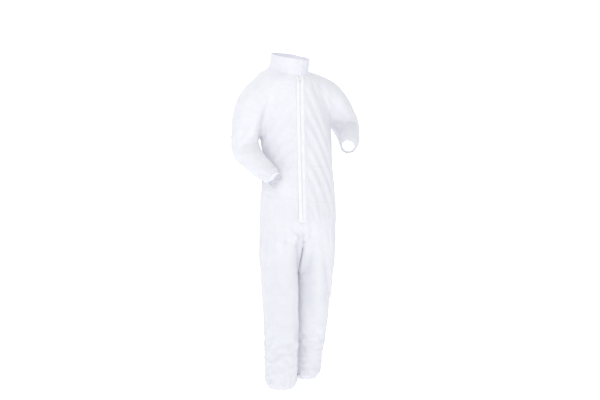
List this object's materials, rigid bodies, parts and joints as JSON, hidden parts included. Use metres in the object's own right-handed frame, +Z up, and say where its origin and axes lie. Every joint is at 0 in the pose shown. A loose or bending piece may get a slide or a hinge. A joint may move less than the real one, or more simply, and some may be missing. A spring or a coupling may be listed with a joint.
{
  "type": "coverall",
  "caption": "White disposable chemical protective coverall with a stand collar, front zip, and elastic waist, wrists and ankles, in its worn shape",
  "frame": {"origin": "centre of the neck opening, at the collar seam", "axes": "+Z up, the front faces -Y, the wearer's left is +X"},
  "size_m": [0.6425, 0.304, 1.5164],
  "materials": {
    "nonwoven": "matt spunbonded nonwoven",
    "elastic": "knitted elastic",
    "zip_tape": "woven tape",
    "zip_coil": "nylon",
    "zip_metal": "enamelled",
    "label": "satin"
  },
  "bodies": {
    "torso": {"front_right": "nonwoven", "front_left": "nonwoven", "back_upper": "nonwoven", "hip_front_right": "nonwoven", "hip_front_left": "nonwoven", "seat": "nonwoven", "collar_outer": "nonwoven", "collar_inner": "nonwoven", "waist_elastic": "elastic", "neck_label": "label", "zip_tape_right": "zip_tape", "zip_tape_left": "zip_tape", "zip_coil_right": "zip_coil", "zip_coil_left": "zip_coil", "zip_top_stops": "zip_coil", "zip_bottom_stop": "zip_coil"},
    "zip_slider": {"slider": "zip_metal"},
    "zip_pull": {"pull_tab": "zip_metal"},
    "upper_arm_right": {"upper_sleeve_right": "nonwoven"},
    "forearm_right": {"lower_sleeve_right": "nonwoven", "cuff_right": "nonwoven", "wrist_elastic_right": "elastic"},
    "thigh_right": {"thigh_front_right": "nonwoven", "thigh_back_right": "nonwoven"},
    "shin_right": {"shin_front_right": "nonwoven", "shin_back_right": "nonwoven", "ankle_hem_right": "nonwoven", "ankle_elastic_right": "elastic"},
    "upper_arm_left": {"upper_sleeve_left": "nonwoven"},
    "forearm_left": {"lower_sleeve_left": "nonwoven", "cuff_left": "nonwoven", "wrist_elastic_left": "elastic"},
    "thigh_left": {"thigh_front_left": "nonwoven", "thigh_back_left": "nonwoven"},
    "shin_left": {"shin_front_left": "nonwoven", "shin_back_left": "nonwoven", "ankle_hem_left": "nonwoven", "ankle_elastic_left": "elastic"}
  },
  "joints": [
    {"name": "shoulder_right", "type": "hinge", "parent": "torso", "child": "upper_arm_right", "pos_m": [-0.166, 0.01, -0.156], "axis": [0, 1, 0], "range_deg": [0, 40]},
    {"name": "shoulder_left", "type": "hinge", "parent": "torso", "child": "upper_arm_left", "pos_m": [0.206, 0.028, -0.116], "axis": [0, -1, 0], "range_deg": [0, 40]},
    {"name": "elbow_right", "type": "hinge", "parent": "upper_arm_right", "child": "forearm_right", "pos_m": [-0.2, 0.018, -0.328], "axis": [0.8748, 0.477, -0.0843], "range_deg": [0, 45]},
    {"name": "elbow_left", "type": "hinge", "parent": "upper_arm_left", "child": "forearm_left", "pos_m": [0.326, 0.072, -0.246], "axis": [0.7953, -0.452, 0.404], "range_deg": [0, 45]},
    {"name": "hip_right", "type": "hinge", "parent": "torso", "child": "thigh_right", "pos_m": [-0.051, -0.018, -0.822], "axis": [-1, 0, 0], "range_deg": [0, 40]},
    {"name": "hip_left", "type": "hinge", "parent": "torso", "child": "thigh_left", "pos_m": [0.133, -0.02, -0.822], "axis": [-1, 0, 0], "range_deg": [0, 40]},
    {"name": "knee_right", "type": "hinge", "parent": "thigh_right", "child": "shin_right", "pos_m": [-0.05, -0.043, -1.01], "axis": [1, 0, 0], "range_deg": [0, 60]},
    {"name": "knee_left", "type": "hinge", "parent": "thigh_left", "child": "shin_left", "pos_m": [0.128, 0.001, -1.01], "axis": [1, 0, 0], "range_deg": [0, 60]},
    {"name": "zip_slide", "type": "slide", "parent": "torso", "child": "zip_slider", "axis": [-0.0094, -0.0961, -0.9953], "range_m": [0, 0.61]},
    {"name": "pull_tab_hinge", "type": "hinge", "parent": "zip_slider", "child": "zip_pull", "pos_m": [0.01996, -0.10233, -0.02221], "axis": [-1, 0, 0.0095], "range_deg": [0, 150]}
  ]
}
